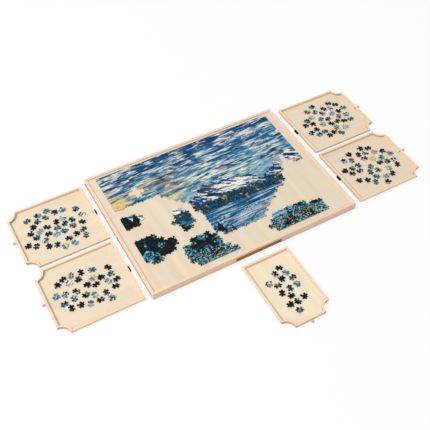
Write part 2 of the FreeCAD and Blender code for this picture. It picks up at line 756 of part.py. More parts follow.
os.makedirs("parts", exist_ok=True)
for node in nodes:
    node.Shape.exportStep("parts/%s.step" % node.Label)
print("%d sub-parts written" % len(nodes))
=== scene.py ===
import math
import random

import bpy
import numpy as np
from mathutils import Matrix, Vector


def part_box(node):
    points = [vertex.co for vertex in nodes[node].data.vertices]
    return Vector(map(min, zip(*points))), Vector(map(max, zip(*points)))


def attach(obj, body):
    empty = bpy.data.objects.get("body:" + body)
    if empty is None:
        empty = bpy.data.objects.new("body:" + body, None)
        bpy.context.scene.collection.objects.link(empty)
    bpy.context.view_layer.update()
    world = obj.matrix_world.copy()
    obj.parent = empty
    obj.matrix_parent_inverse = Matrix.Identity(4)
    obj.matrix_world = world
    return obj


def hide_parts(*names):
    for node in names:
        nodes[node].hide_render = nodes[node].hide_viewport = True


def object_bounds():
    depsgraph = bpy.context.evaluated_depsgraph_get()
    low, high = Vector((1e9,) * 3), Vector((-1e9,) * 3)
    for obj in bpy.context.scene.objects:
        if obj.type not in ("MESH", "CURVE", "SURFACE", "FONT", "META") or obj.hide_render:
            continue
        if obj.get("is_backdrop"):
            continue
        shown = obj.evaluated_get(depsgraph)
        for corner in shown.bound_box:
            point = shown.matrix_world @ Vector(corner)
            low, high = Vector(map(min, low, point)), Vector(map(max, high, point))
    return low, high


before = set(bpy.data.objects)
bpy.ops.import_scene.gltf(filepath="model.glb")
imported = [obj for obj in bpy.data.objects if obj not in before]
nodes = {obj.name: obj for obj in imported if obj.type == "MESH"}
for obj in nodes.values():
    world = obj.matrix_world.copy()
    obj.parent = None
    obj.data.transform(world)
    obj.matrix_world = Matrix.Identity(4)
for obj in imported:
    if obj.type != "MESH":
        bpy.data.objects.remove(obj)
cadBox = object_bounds()
print("frame loaded with", len(nodes), "sub-parts")


# Screen colour from 0 to 255, as the linear colour that shaders take.
def tone(red, green, blue):
    share = np.array([red, green, blue]) / 255.0
    linear = np.where(share <= 0.04045, share / 12.92, ((share + 0.055) / 1.055) ** 2.4)
    return (float(linear[0]), float(linear[1]), float(linear[2]), 1.0)


# Short ways to put nodes into a tree. A value is a number, a colour or another node's socket.
def feed(value, socket):
    if isinstance(value, bpy.types.NodeSocket):
        socket.id_data.links.new(value, socket)
    else:
        socket.default_value = value


# A node in the tree that its values come from, each of them fed into its socket.
def addNode(kind, values, sockets=range(3), **settings):
    tree = next(value.id_data for value in values if isinstance(value, bpy.types.NodeSocket))
    node = tree.nodes.new(kind)
    for name, setting in settings.items():
        setattr(node, name, setting)
    for socket, value in zip(sockets, values):
        feed(value, node.inputs[socket])
    return node


def calc(operation, first, second=0.5, third=0.5, clamp=False):
    return addNode("ShaderNodeMath", (first, second, third), operation=operation,
                   use_clamp=clamp).outputs[0]


def times(first, second):
    return calc("MULTIPLY", first, second)


# value x scale + shift
def scaled(value, scale, shift):
    return calc("MULTIPLY_ADD", value, scale, shift)


def vecCalc(operation, first, second):
    node = addNode("ShaderNodeVectorMath", (first, second), operation=operation)
    return node.outputs["Value" if operation == "DOT_PRODUCT" else "Vector"]


def joinXyz(x, y, z=0.0):
    return addNode("ShaderNodeCombineXYZ", (x, y, z)).outputs[0]


def splitXyz(vector):
    return addNode("ShaderNodeSeparateXYZ", (vector,)).outputs


def blendColour(share, first, second, mode="MIX"):
    return addNode("ShaderNodeMix", (share, first, second), (0, 6, 7), data_type="RGBA",
                   blend_type=mode).outputs[2]


# Lays a colour over another where the mask is set, at most by the share.
def overlay(base, mask, share, colour):
    return blendColour(times(mask, share), base, colour)


def cloud(vector, scale, detail=2.0, rough=0.5, twist=0.0):
    return addNode("ShaderNodeTexNoise", (vector, scale, detail, rough, twist),
                   ("Vector", "Scale", "Detail", "Roughness", "Distortion")).outputs[0]


# Noise drawn out: marks in a metre along X, Y and Z.
def streaks(vector, counts, *shape):
    return cloud(vecCalc("MULTIPLY", vector, counts), 1.0, *shape)


# Eases from 0 at low to 1 at high.
def rise(value, low, high):
    return addNode("ShaderNodeMapRange", (value, low, high), ("Value", "From Min", "From Max"),
                   interpolation_type="SMOOTHSTEP").outputs[0]


def colourSteps(share, stops, hard=False):
    node = addNode("ShaderNodeValToRGB", (share,))
    band = node.color_ramp
    band.interpolation = "CONSTANT" if hard else "LINEAR"
    while len(band.elements) < len(stops):
        band.elements.new(0.5)
    for element, (position, colour) in zip(band.elements, stops):
        element.position = position
        element.color = colour
    return node.outputs[0]


def newGroup(name, inputs, outputs):
    tree = bpy.data.node_groups.new(name, "ShaderNodeTree")
    for way, sockets in (("INPUT", inputs), ("OUTPUT", outputs)):
        for label, kind, *value in sockets:
            socket = tree.interface.new_socket(name=label, in_out=way,
                                               socket_type="NodeSocket" + kind)
            if value:
                socket.default_value = value[0]
    given, result = (tree.nodes.new("NodeGroup" + end) for end in ("Input", "Output"))
    return tree, given.outputs, result.inputs


def useGroup(tree, group, **values):
    node = tree.nodes.new("ShaderNodeGroup")
    node.node_tree = group
    for name, value in values.items():
        feed(value, node.inputs[name])
    return node.outputs


# Wood: growth bands and lines that run along X and waver slowly, with fibres and short pores in
# between. Noises have their scale or their counts first, then detail, roughness and twist.
grainShape = {
    "bands": (1.0, 3.0, 0.55, 0.3), "bandStretch": 14.0, "bandEdges": (0.3, 0.72),
    "waver": ((2.2, 14.0, 14.0), 1.0), "waverLines": 9.0, "lineSharpness": 2.5,
    "fibres": ((90.0, 1500.0, 1500.0), 2.0, 0.6), "pores": ((160.0, 2600.0, 2600.0), 1.0),
    "poreEdges": (0.66, 0.74), "poreTone": tone(168, 122, 80),
    "bandShare": 0.62, "lineShare": 0.26, "fibreShare": 0.22,
    "smoothest": 0.44, "roughRange": 0.22, "lineHeight": 0.35, "fibreHeight": 0.65,
    "poreDepth": 1.5,
}


def makeGrain():
    tree, given, result = newGroup(
        "paleGrain",
        [("Place", "Vector"), ("Light", "Color", tone(240, 222, 196)),
         ("Dark", "Color", tone(220, 190, 155)), ("Band", "Float", 0.02),
         ("Line", "Float", 0.003), ("Figure", "Float", 0.5), ("Pores", "Float", 0.3)],
        [("Colour", "Color"), ("Roughness", "Float"), ("Height", "Float")])
    place = given["Place"]
    x, y, z = splitXyz(place)
    slow = times(given["Band"], grainShape["bandStretch"])
    banded = joinXyz(calc("DIVIDE", x, slow), calc("DIVIDE", y, given["Band"]),
                     calc("DIVIDE", z, given["Band"]))
    bands = rise(cloud(banded, *grainShape["bands"]), *grainShape["bandEdges"])
    waver = streaks(place, *grainShape["waver"])
    across = calc("ADD", calc("DIVIDE", calc("ADD", y, z), given["Line"]),
                  times(waver, grainShape["waverLines"]))
    lines = scaled(calc("SINE", times(across, 2 * math.pi)), 0.5, 0.5)
    lines = calc("POWER", lines, grainShape["lineSharpness"])
    fibres = streaks(place, *grainShape["fibres"])
    pores = rise(streaks(place, *grainShape["pores"]), *grainShape["poreEdges"])
    share = times(fibres, grainShape["fibreShare"])
    share = scaled(lines, grainShape["lineShare"], share)
    share = scaled(bands, grainShape["bandShare"], share)
    share = calc("MULTIPLY", share, given["Figure"], clamp=True)
    body = blendColour(share, given["Light"], given["Dark"])
    flecks = times(pores, given["Pores"])
    feed(blendColour(flecks, body, grainShape["poreTone"]), result["Colour"])
    feed(scaled(fibres, grainShape["roughRange"], grainShape["smoothest"]), result["Roughness"])
    height = scaled(lines, grainShape["lineHeight"], times(fibres, grainShape["fibreHeight"]))
    dip = times(flecks, grainShape["poreDepth"])
    feed(calc("SUBTRACT", height, dip), result["Height"])
    return tree


edgeWear = {"samples": 6, "wornFrom": 0.02, "wornTo": 0.3}


# Edges: how far the face is from flat within a small reach, and a normal that rounds it there.
def makeEdges():
    tree, given, result = newGroup("softEdge", [("Reach", "Float", 0.0008)],
                                   [("Worn", "Float"), ("Normal", "Vector")])
    bevel = addNode("ShaderNodeBevel", (given["Reach"],), ("Radius",),
                    samples=edgeWear["samples"]).outputs[0]
    straight = tree.nodes.new("ShaderNodeNewGeometry").outputs["True Normal"]
    bent = calc("SUBTRACT", 1.0, vecCalc("DOT_PRODUCT", bevel, straight))
    feed(rise(bent, edgeWear["wornFrom"], edgeWear["wornTo"]), result["Worn"])
    feed(bevel, result["Normal"])
    return tree


handMarks = {"smudges": (9.0, 3.0, 0.6), "smudgeEdges": (0.42, 0.75), "smudgeShare": 0.65,
             "dust": (420.0, 2.0, 0.5), "dustEdges": (0.5, 0.8), "dustShare": 0.35}


# Handling: faint broad smudges and fine dust, as a mask.
def makeHandling():
    tree, given, result = newGroup("handling", [("Place", "Vector"), ("Amount", "Float", 0.5)],
                                   [("Mask", "Float")])
    broad = rise(cloud(given["Place"], *handMarks["smudges"]), *handMarks["smudgeEdges"])
    fine = rise(cloud(given["Place"], *handMarks["dust"]), *handMarks["dustEdges"])
    both = scaled(fine, handMarks["dustShare"], times(broad, handMarks["smudgeShare"]))
    feed(times(both, given["Amount"]), result["Mask"])
    return tree


grainGroup = makeGrain()
edgeGroup = makeEdges()
handlingGroup = makeHandling()


def onObject(tree):
    return tree.nodes.new("ShaderNodeTexCoord").outputs["Object"]


# 1 for what the camera sees, also in a reflection or through glass.
def seenByCamera(tree):
    rays = tree.nodes.new("ShaderNodeLightPath").outputs
    seen = calc("MAXIMUM", rays["Is Camera Ray"], rays["Is Glossy Ray"])
    return calc("MAXIMUM", seen, rays["Is Transmission Ray"])


def newMaterial(name):
    material = bpy.data.materials.new(name)
    material.use_nodes = True
    tree = material.node_tree
    return material, tree, tree.nodes["Principled BSDF"]


# Puts a finish on a shader, with its bump over the normal, if there is one.
def applyFinish(shader, finish, colour, rough, height, normal=None):
    bump = addNode("ShaderNodeBump", (finish["bump"], finish["bumpHeight"], height),
                   ("Strength", "Distance", "Height"))
    if normal is not None:
        feed(normal, bump.inputs["Normal"])
    for value, socket in ((colour, "Base Color"), (rough, "Roughness"),
                          (finish["shine"], "Specular IOR Level"), (bump.outputs[0], "Normal")):
        feed(value, shader.inputs[socket])


# The edge and handling groups on one finish.
def wear(tree, place, finish):
    edge = useGroup(tree, edgeGroup, Reach=finish["edgeReach"])
    return edge, useGroup(tree, handlingGroup, Place=place, Amount=finish["smudge"])["Mask"]


# The woods of the case. Side is a painted shade: a tint that darkens upright faces, on which
# less light falls. The notch walls take a darker tint, which is more painted shade.
woods = {
    "rimWood": {"side": (1.0, 0.93, 0.89, 1.0), "grain": {
        "Light": tone(249, 228, 202), "Dark": tone(236, 202, 168), "Band": 0.016, "Line": 0.0031,
        "Figure": 0.75, "Pores": 0.22}},
    # innerWood: darker than the rim wood, with a stronger side tint, as painted shade on the
    # inner rails, dividers and strips that stand in the case's shade.
    "innerWood": {"side": (1.0, 0.84, 0.68, 1.0), "grain": {
        "Light": tone(236, 206, 168), "Dark": tone(212, 172, 126), "Band": 0.014, "Line": 0.0036,
        "Figure": 0.8, "Pores": 0.35}},
    "trayRailWood": {"side": (0.98, 0.92, 0.86, 1.0), "grain": {
        "Light": tone(250, 229, 201), "Dark": tone(240, 208, 172), "Band": 0.012, "Line": 0.0026,
        "Figure": 0.7, "Pores": 0.22}},
    "boardPly": {"side": (0.96, 0.9, 0.84, 1.0), "grain": {
        "Light": tone(239, 224, 200), "Dark": tone(226, 206, 178), "Band": 0.028, "Line": 0.0052,
        "Figure": 0.8, "Pores": 0.25}},
    # frontTrayPly: a lighter copy of trayPly, as painted light on the front tray's floor, which
    # lies further from the lamp.
    "frontTrayPly": {"side": (0.96, 0.9, 0.84, 1.0), "grain": {
        "Light": tone(252, 236, 208), "Dark": tone(243, 222, 190), "Band": 0.024, "Line": 0.0046,
        "Figure": 0.75, "Pores": 0.25}},
    "trayPly": {"side": (0.96, 0.9, 0.84, 1.0), "grain": {
        "Light": tone(242, 225, 200), "Dark": tone(232, 210, 180), "Band": 0.024, "Line": 0.0046,
        "Figure": 0.75, "Pores": 0.25}},
}
# The notch walls: the tray rail wood with a darker side tint, so stronger painted shade on their
# upright faces.
woods["notchWood"] = {**woods["trayRailWood"], "side": (0.74, 0.58, 0.46, 1.0)}
plyFaces = {"boardPly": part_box("work_board"), "trayPly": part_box("left_back_tray_floor"),
            "frontTrayPly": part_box("front_tray_floor")}
# Plies from the bottom up: outer veneer, glue line, core, glue line, outer veneer.
plyLayers = [(0.0, (1.0, 1.0, 1.0, 1.0)), (0.3, (0.42, 0.29, 0.18, 1.0)),
             (0.335, (0.72, 0.58, 0.42, 1.0)), (0.665, (0.42, 0.29, 0.18, 1.0)),
             (0.7, (1.0, 1.0, 1.0, 1.0))]
woodFinish = {"levelFrom": 0.35, "levelTo": 0.9, "edgeReach": 0.0006, "edgeShare": 0.3,
              "wornTone": tone(214, 168, 124), "smudge": 0.22, "smudgeTone": tone(222, 200, 176),
              "smudgePolish": 0.3, "shine": 0.35, "bump": 0.35, "bumpHeight": 0.00025}


def woodMaterial(wood, grainAlongY):
    look = woods[wood]
    material, tree, shader = newMaterial(wood + ("AlongY" if grainAlongY else "AlongX"))
    surface = tree.nodes.new("ShaderNodeTexCoord").outputs
    place = surface["Object"]
    angle = -math.pi / 2 if grainAlongY else 0
    turned = addNode("ShaderNodeMapping", (place, (0, 0, angle)),
                     ("Vector", "Rotation")).outputs[0]
    grain = useGroup(tree, grainGroup, Place=turned, **look["grain"])
    up = calc("ABSOLUTE", splitXyz(surface["Normal"])[2])
    level = rise(up, woodFinish["levelFrom"], woodFinish["levelTo"])
    # painted shade: upright faces take the side tint, while faces that look up keep the grain's
    # colour
    shadedSideColour = blendColour(1.0, grain["Colour"], look["side"], "MULTIPLY")
    if wood in plyFaces:
        under, over = (corner[2] for corner in plyFaces[wood])
        layer = calc("DIVIDE", calc("SUBTRACT", splitXyz(place)[2], under), over - under)
        plies = colourSteps(layer, plyLayers, hard=True)
        shadedSideColour = blendColour(1.0, shadedSideColour, plies, "MULTIPLY")
    colour = blendColour(level, shadedSideColour, grain["Colour"])
    edge, smudge = wear(tree, place, woodFinish)
    colour = overlay(colour, edge["Worn"], woodFinish["edgeShare"], woodFinish["wornTone"])
    colour = blendColour(smudge, colour, woodFinish["smudgeTone"])
    polish = times(smudge, woodFinish["smudgePolish"])
    rough = calc("SUBTRACT", grain["Roughness"], polish)
    applyFinish(shader, woodFinish, colour, rough, grain["Height"], edge["Normal"])
    return material


def dress(node, material):
    piece = nodes[node]
    if not piece.material_slots:
        piece.data.materials.append(material)
    for slot in piece.material_slots:
        slot.material = material


# Trays: the way out of the case in degrees, and how the loose pieces lie in them. A tray's base
# is the middle of its inner end, and its size is length and width, as the frame has them.
trays = {
    "left_back_tray": {"turn": 180, "seed": 3, "margins": (0.018, 0.026), "tilt": 12},
    "left_front_tray": {"turn": 180, "seed": 5, "margins": (0.026, 0.036), "tilt": -9},
    "right_back_tray": {"turn": 0, "seed": 8, "margins": (0.030, 0.026), "tilt": 17},
    "right_front_tray": {"turn": 0, "seed": 13, "margins": (0.030, 0.026), "tilt": -14},
    "front_tray": {"turn": -90, "seed": 21, "margins": (0.028, 0.025), "tilt": 6},
}
for name, tray in trays.items():
    low, high = np.array(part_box(name + "_floor"))
    railLow, railHigh = np.array(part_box(name + "_side_rails"))
    swing = math.radians(tray["turn"])
    way = np.array([round(math.cos(swing)), round(math.sin(swing))])
    length = abs(way @ (high - low)[:2])
    tray["size"] = (length, abs(way[::-1] @ (railHigh - railLow)[:2]))
    tray["base"] = (low + high)[:2] / 2 - way * length / 2
    tray["top"] = high[2]

made = {(wood, alongY): woodMaterial(wood, alongY) for wood in woods for alongY in (False, True)}
for wood, alongY, parts in (
        ("rimWood", False, ("rim_rail_front", "rim_rail_back")),
        ("rimWood", True, ("rim_rail_left", "rim_rail_right")),
        ("innerWood", False, ("mid_rail_left", "mid_rail_right", "front_stop_rail",
                              "runner_strips")),
        ("innerWood", True, ("divider_left", "divider_right")),
        ("boardPly", True, ("work_board",))):
    for node in parts:
        dress(node, made[wood, alongY])
for name, tray in trays.items():
    lengthwise = tray["turn"] == -90
    dress(name + "_floor", made["frontTrayPly" if lengthwise else "trayPly", lengthwise])
    dress(name + "_side_rails", made["trayRailWood", lengthwise])
    dress(name + "_notch_walls", made["notchWood", lengthwise])
    for part in ("_inner_rail", "_outer_rail"):
        dress(name + part, made["trayRailWood", not lengthwise])
print("woods on the case and the trays")


def addObject(name, data):
    thing = bpy.data.objects.new(name, data)
    bpy.context.scene.collection.objects.link(thing)
    return thing


# One mesh from an array of rings: pieces x rings x points x 3. Walls run from each ring to the
# next, and a flat face closes both ends of every piece. Rings go round anticlockwise seen from
# where they head. The ends and the walls take their materials from endKinds and wallKinds.
def loftPiece(name, rings, materials, wallKinds=None, endKinds=(0, 0), smooth=True, uv=None):
    count, levels, around, _ = rings.shape
    point = np.arange(around)
    after = np.roll(point, -1)
    level = np.arange(levels - 1)[:, None] * around
    walls = np.stack([level + point, level + after, level + around + after,
                      level + around + point], -1).reshape(-1)
    ends = np.concatenate([point[::-1], (levels - 1) * around + point])
    corners = np.concatenate([walls, ends])
    wallCount = (levels - 1) * around
    sides = np.concatenate([np.full(wallCount, 4), [around, around]])
    kinds = np.concatenate([np.repeat(wallKinds or [0] * (levels - 1), around), endKinds])
    allCorners = (corners[None, :] + np.arange(count)[:, None] * levels * around).reshape(-1)
    allSides = np.tile(sides, count)
    mesh = bpy.data.meshes.new(name)
    mesh.vertices.add(count * levels * around)
    mesh.vertices.foreach_set("co", rings.reshape(-1).astype(np.float32))
    mesh.loops.add(len(allCorners))
    mesh.loops.foreach_set("vertex_index", allCorners.astype(np.int32))
    mesh.polygons.add(len(allSides))
    mesh.polygons.foreach_set("loop_start", (np.cumsum(allSides) - allSides).astype(np.int32))
    mesh.update(calc_edges=True)
    mesh.polygons.foreach_set("material_index", np.tile(kinds, count).astype(np.int32))
    softWalls = np.concatenate([np.full(wallCount, smooth), [False, False]])
    mesh.polygons.foreach_set("use_smooth", np.tile(softWalls, count))
    if uv is not None:
        layer = mesh.uv_layers.new(name="picture")
        spots = uv.reshape(-1, 2)[allCorners]
        layer.uv.foreach_set("vector", spots.reshape(-1).astype(np.float32))
    mesh.validate()
    for material in materials:
        mesh.materials.append(material)
    return addObject(name, mesh)


# A new piece rides on its body, in place of a CAD node, which is hidden.
def fit(piece, body, node):
    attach(piece, body)
    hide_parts(node)


cardLow, cardHigh = np.array(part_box("assembled_puzzle"))
puzzle = {
    "length": cardHigh[0] - cardLow[0], "width": cardHigh[1] - cardLow[1],
    "columns": 38, "rows": 27, "corner": cardLow[:2],
    "boardTop": cardLow[2], "thick": cardHigh[2] - cardLow[2],
    "cutGap": 0.00006, "roundDown": 0.0003, "roundIn": 0.00028,
    "oddCuts": 0.16,        # share of the cuts whose tab points the other way
    "tabUnit": 0.0184, "tabStray": 0.05, "tabVary": 0.12, "strayRise": 1.6,
    # slow sines of the cutting lines: height, waves along X and along Y, start
    "wavesX": ((0.0007, 13, 71, 0), (0.0004, 0, 151, 2)),
    "wavesY": ((0.0007, 64, -11, 1), (0.0004, 139, 0, 0)),
    "seed": 41,
}
cellLength = puzzle["length"] / puzzle["columns"]
cellWidth = puzzle["width"] / puzzle["rows"]
# One side of a piece, from corner to corner: share along it, and how far the tab stands out.
tabLine = np.array([(0.0, 0.0), (0.31, -0.02), (0.405, 0.035), (0.33, 0.125), (0.385, 0.208),
                    (0.5, 0.238), (0.615, 0.208), (0.67, 0.125), (0.595, 0.035), (0.69, -0.02)])
# What is joined lies behind an edge, given by shares of the length and the width, and on islands.
# Those and the gap are ellipses: middle and reach, as shares too.
finishedEdge = np.array([(0.00, 0.67), (0.18, 0.67), (0.24, 0.66), (0.28, 0.57), (0.33, 0.50),
                         (0.36, 0.38), (0.38, 0.17), (0.44, 0.14), (0.56, 0.16), (0.64, 0.16),
                         (0.68, 0.24), (0.75, 0.30), (0.84, 0.38), (0.88, 0.52), (0.92, 0.62),
                         (0.94, 0.50), (1.00, 0.50)])
islands = [(0.03, 0.54, 0.07, 0.07), (0.06, 0.27, 0.08, 0.11), (0.13, 0.25, 0.06, 0.06),
           (0.27, 0.39, 0.05, 0.09), (0.28, 0.10, 0.10, 0.12), (0.35, 0.03, 0.06, 0.05),
           (0.77, 0.05, 0.16, 0.09), (0.70, 0.08, 0.07, 0.07)]
gapInSky = (0.145, 0.76, 0.03, 0.05)


# Turns points about Z: x cos - y sin, x sin + y cos.
def turnFlat(points, angle):
    x, y = points[..., 0], points[..., 1]
    return np.stack([x * np.cos(angle) - y * np.sin(angle),
                     x * np.sin(angle) + y * np.cos(angle)], -1)


# Outlines of pieces about their middles, anticlockwise from the corner at -X -Y. Each of the
# four sides (front, right, back, left) carries the tab line, scaled by its tab value, which is
# 0 on the border and below 0 for a socket, and slid along by its stray.
def pieceOutlines(tabs, strays):
    corner = np.array([(-0.5, -0.5), (0.5, -0.5), (0.5, 0.5), (-0.5, 0.5)])
    size = np.array([cellLength, cellWidth])
    start = corner * size
    run = np.roll(start, -1, axis=0) - start
    out = np.stack([run[:, 1], -run[:, 0]], -1)
    out = out / np.linalg.norm(out, axis=1, keepdims=True)
    inTab = np.clip(puzzle["strayRise"] * np.sin(np.pi * tabLine[:, 0]), 0, 1)
    even = np.arange(len(tabLine)) / len(tabLine)
    along = np.where(tabs[..., None] == 0, even, tabLine[:, 0] + strays[..., None] * inTab)
    stand = tabLine[:, 1] * tabs[..., None] * puzzle["tabUnit"]
    points = start[:, None] + along[..., None] * run[:, None] + stand[..., None] * out[:, None]
    return points.reshape(len(tabs), -1, 2)


# Raises outlines to closed cards: the wall goes straight up and rounds over to the print. The
# way inwards at a point is square to the line between its two neighbours.
def cardRings(outlines, floor):
    way = np.roll(outlines, -1, axis=1) - np.roll(outlines, 1, axis=1)
    inwards = np.stack([-way[..., 1], way[..., 0]], -1)
    inwards = inwards / np.linalg.norm(inwards, axis=-1, keepdims=True)
    top = floor + puzzle["thick"]
    steps = [(puzzle["cutGap"], floor), (puzzle["cutGap"], top - puzzle["roundDown"]),
             (puzzle["cutGap"] + puzzle["roundIn"], top)]
    level = np.ones(outlines.shape[:2] + (1,))
    return np.stack([np.concatenate([outlines + inwards * shift, level * z], -1)
                     for shift, z in steps], 1)


# Adds up the waves: height times the sine of alongX x + alongY y + start.
def slowSines(waves, x, y):
    return sum(height * np.sin(alongX * x + alongY * y + start)
               for height, alongX, alongY, start in waves)


# The cutting lines aren't quite straight: a point moves by slow sines of its place, fading out
# at the border of the puzzle.
def cutWave(points):
    x, y = points[..., 0], points[..., 1]
    fade = np.clip(np.minimum(x, puzzle["length"] - x) / cellLength, 0, 1)
    fade = fade * np.clip(np.minimum(y, puzzle["width"] - y) / cellWidth, 0, 1)
    shift = np.stack([slowSines(puzzle["wavesX"], x, y), slowSines(puzzle["wavesY"], x, y)], -1)
    return points + fade[..., None] * shift


chance = np.random.default_rng(puzzle["seed"])
columns, rows = puzzle["columns"], puzzle["rows"]
column, row = np.meshgrid(np.arange(columns), np.arange(rows), indexing="ij")


# Cuts across X (axis 0) or Y (axis 1), tab towards the far side where above 0, on a chequered
# plan with some turned round; the outermost cuts are the straight border.
def cutTabs(axis):
    shape = np.array([columns, rows])
    shape[axis] += 1
    checker = np.where((np.indices(shape).sum(0) + axis) % 2 == 1, 1.0, -1.0)
    turned = np.where(chance.random(shape) < puzzle["oddCuts"], -1.0, 1.0)
    size = 1 + puzzle["tabVary"] * chance.uniform(-1, 1, shape)
    tabs = checker * turned * size
    np.moveaxis(tabs, axis, 0)[[0, -1]] = 0
    return tabs, puzzle["tabStray"] * chance.uniform(-1, 1, shape)


upright, uprightStray = cutTabs(0)
level, levelStray = cutTabs(1)
tabs = np.stack([-level[:, :-1], upright[1:], level[:, 1:], -upright[:-1]], -1)
strays = np.stack([levelStray[:, :-1], uprightStray[1:], -levelStray[:, 1:],
                   -uprightStray[:-1]], -1)
across = (column + 0.5) / columns
along = (row + 0.5) / rows


def inEllipse(x, y, reachX, reachY):
    return ((across - x) / reachX) ** 2 + ((along - y) / reachY) ** 2 <= 1


edge = np.interp(across, finishedEdge[:, 0], finishedEdge[:, 1])
joined = (along >= edge) & ~inEllipse(*gapInSky)
for island in islands:
    joined |= inEllipse(*island)
cellMiddles = np.stack([(column + 0.5) * cellLength, (row + 0.5) * cellWidth], -1)
print("puzzle cut into", joined.size, "pieces,", int(joined.sum()), "of them joined")


# The picture on the cards: a mountain lake, painted from far to near. Its coordinates are the
# picture map, in metres from the puzzle's front left corner, and u and v are the shares of its
# length and width. The lake mirrors what stands above its far shore. A layer of paint has its
# colour, where on its brush it starts and is full, and its share. A range of peaks has their
# number, the first one's place, its foot and its rise. Its crags have the number and the first
# place times these, and a share of the rise. The near slopes rise evenly, each given by its
# steepness and its height at the left border.
picture = {
    "shore": 0.36, "mirror": 1.12, "ripple": 0.05, "slant": -0.5,
    "sky": [(0.5, tone(158, 198, 200)), (0.66, tone(64, 142, 172)), (0.8, tone(34, 118, 164)),
            (1.0, tone(8, 78, 132))],
    "veil": (tone(226, 232, 222), 0.48, 0.62, 0.9), "deep": (tone(8, 66, 112), 0.5, 0.6, 0.9),
    "wisp": (tone(244, 240, 214), 0.53, 0.62, 0.8), "rift": (tone(0, 50, 92), 0.47, 0.38, 0.85),
    "glow": tone(238, 206, 116), "glowShare": 0.9, "glowVeils": (0.44, 0.58),
    "glowHeight": (0.88, 0.7), "glowSide": (0.46, 0.24),
    "farRange": (2.9, 0.13, 0.53, 0.07), "nearRange": (2.1, 0.42, 0.47, 0.13),
    "crags": (3.7, 5, 0.45), "jags": 0.16, "haze": (0.38, 0.62),
    "farShade": tone(78, 132, 166), "farLight": tone(164, 196, 204),
    "snow": [(0.1, tone(16, 40, 84)), (0.34, tone(44, 90, 148)), (0.52, tone(134, 168, 194)),
             (0.66, tone(234, 236, 228)), (1.0, tone(250, 244, 226))],
    "relief": 9.0, "tilt": 0.7, "rock": (tone(26, 52, 86), 0.5, 0.58, 0.85),
    "peakGlow": tone(244, 214, 140), "peakGlowShare": 0.6, "peakLit": (0.5, 0.8),
    "peakHeight": (0.62, 0.72),
    "trees": [(0.36, tone(8, 22, 34)), (0.5, tone(16, 56, 78)), (0.64, tone(46, 106, 122)),
              (0.8, tone(120, 160, 150))],
    "larch": tone(206, 166, 72), "larchGroves": (0.58, 0.64), "larchNeedles": (0.4, 0.55),
    "hillFoot": 0.33, "hillRise": 0.22, "spires": 44.0, "spireRise": 0.022,
    "water": tone(0, 118, 168), "depth": 0.55,
    "bright": (tone(204, 220, 220), 0.54, 0.62, 0.8), "dim": (tone(10, 40, 82), 0.53, 0.62, 0.75),
    "leftSlope": (-1.0, 0.58), "rightSlope": (0.95, -0.62), "slopeFoot": 0.05, "firs": 21.0,
    "firRise": 0.3, "shade": (tone(2, 5, 8), 0.49, 0.4, 0.95), "shadeSlant": -0.45,
    "boughs": [(0.38, tone(3, 8, 12)), (0.46, tone(14, 58, 80)), (0.54, tone(52, 132, 160)),
               (0.66, tone(186, 216, 210))],
    "bankRise": 0.18, "petals": 230.0, "petalReach": 0.36,
    "petalTones": [(0.0, tone(40, 90, 70)), (0.5, tone(196, 178, 74)),
                   (0.82, tone(220, 226, 224))],
}
# Brushes: marks over the length and the width, shift, and where they aren't the usual ones,
# detail, roughness and twist.
brushes = {
    "ripples": (4.0, 62.0, 3.0), "veils": (4.2, 16.0, 4.0, 7.0, 0.62, 0.6),
    "depths": (6.0, 20.0, 12.0, 6.0, 0.6, 0.5), "wisps": (15.0, 54.0, 21.0, 5.0, 0.6, 0.8),
    "haze": (22.0, 34.0, 18.0, 5.0, 0.62), "farJags": (26.0, 1.0, 0.13, 5.0, 0.62),
    "nearJags": (26.0, 1.0, 0.42, 5.0, 0.62), "lit": (13.0, 8.0, 2.0, 7.0, 0.6),
    "unlit": (13.0, 8.0, 2.09, 7.0, 0.6), "rocks": (9.0, 22.0, 7.0, 6.0, 0.65),
    "needles": (150.0, 44.0, 1.0, 3.0, 0.6), "larches": (30.0, 22.0, 5.0, 4.0),
    "hills": (5.0, 1.0, 8.0), "brights": (5.0, 80.0, 9.0, 4.0, 0.6),
    "dims": (4.0, 60.0, 15.0, 4.0, 0.6), "firs": (19.0, 1.0, 6.0),
    "boughs": (90.0, 60.0, 3.0, 4.0, 0.62), "shade": (17.0, 12.0, 11.0), "bank": (9.0, 1.0, 2.0),
}


# Noise drawn out into a brush's marks, which change along x alone where y isn't given.
def brush(name, x, y=None):
    marksX, marksY, shift, *shape = brushes[name]
    spread = joinXyz(scaled(x, marksX, shift), shift if y is None else scaled(y, marksY, shift))
    return cloud(spread, 1.0, *shape)


# A zigzag between 0 and a half along the picture.
def peaks(u, number, first=0.0):
    return calc("PINGPONG", scaled(u, number, first), 0.5)


# Lays one layer of paint over the image, where its marks are.
def paint(image, marks, layer):
    colour, low, high, share = picture[layer]
    return overlay(image, rise(marks, low, high), share, colour)


# 1 below a range's skyline: broad peaks, with crags and jags on them.
def inRange(u, height, mountains, jagBrush):
    number, first, foot, tall = picture[mountains]
    cragNumber, cragFirst, cragShare = picture["crags"]
    crags = peaks(u, number * cragNumber, first * cragFirst)
    line = scaled(peaks(u, number, first), tall * 2, foot)
    line = scaled(crags, tall * cragShare, line)
    jags = calc("SUBTRACT", brush(jagBrush, u), 0.5)
    line = scaled(jags, picture["jags"], line)
    return calc("LESS_THAN", height, line)


# Deep sky with slanting cloud veils and an evening glow low on the left.
def paintSky(u, slanted, height):
    veils = brush("veils", slanted, height)
    wisps = brush("wisps", slanted, height)
    image = colourSteps(height, picture["sky"])
    image = paint(image, veils, "veil")
    image = paint(image, brush("depths", slanted, height), "deep")
    image = paint(image, wisps, "wisp")
    image = paint(image, wisps, "rift")
    low = times(rise(height, *picture["glowHeight"]), rise(u, *picture["glowSide"]))
    glow = times(rise(veils, *picture["glowVeils"]), low)
    return overlay(image, glow, picture["glowShare"], picture["glow"])


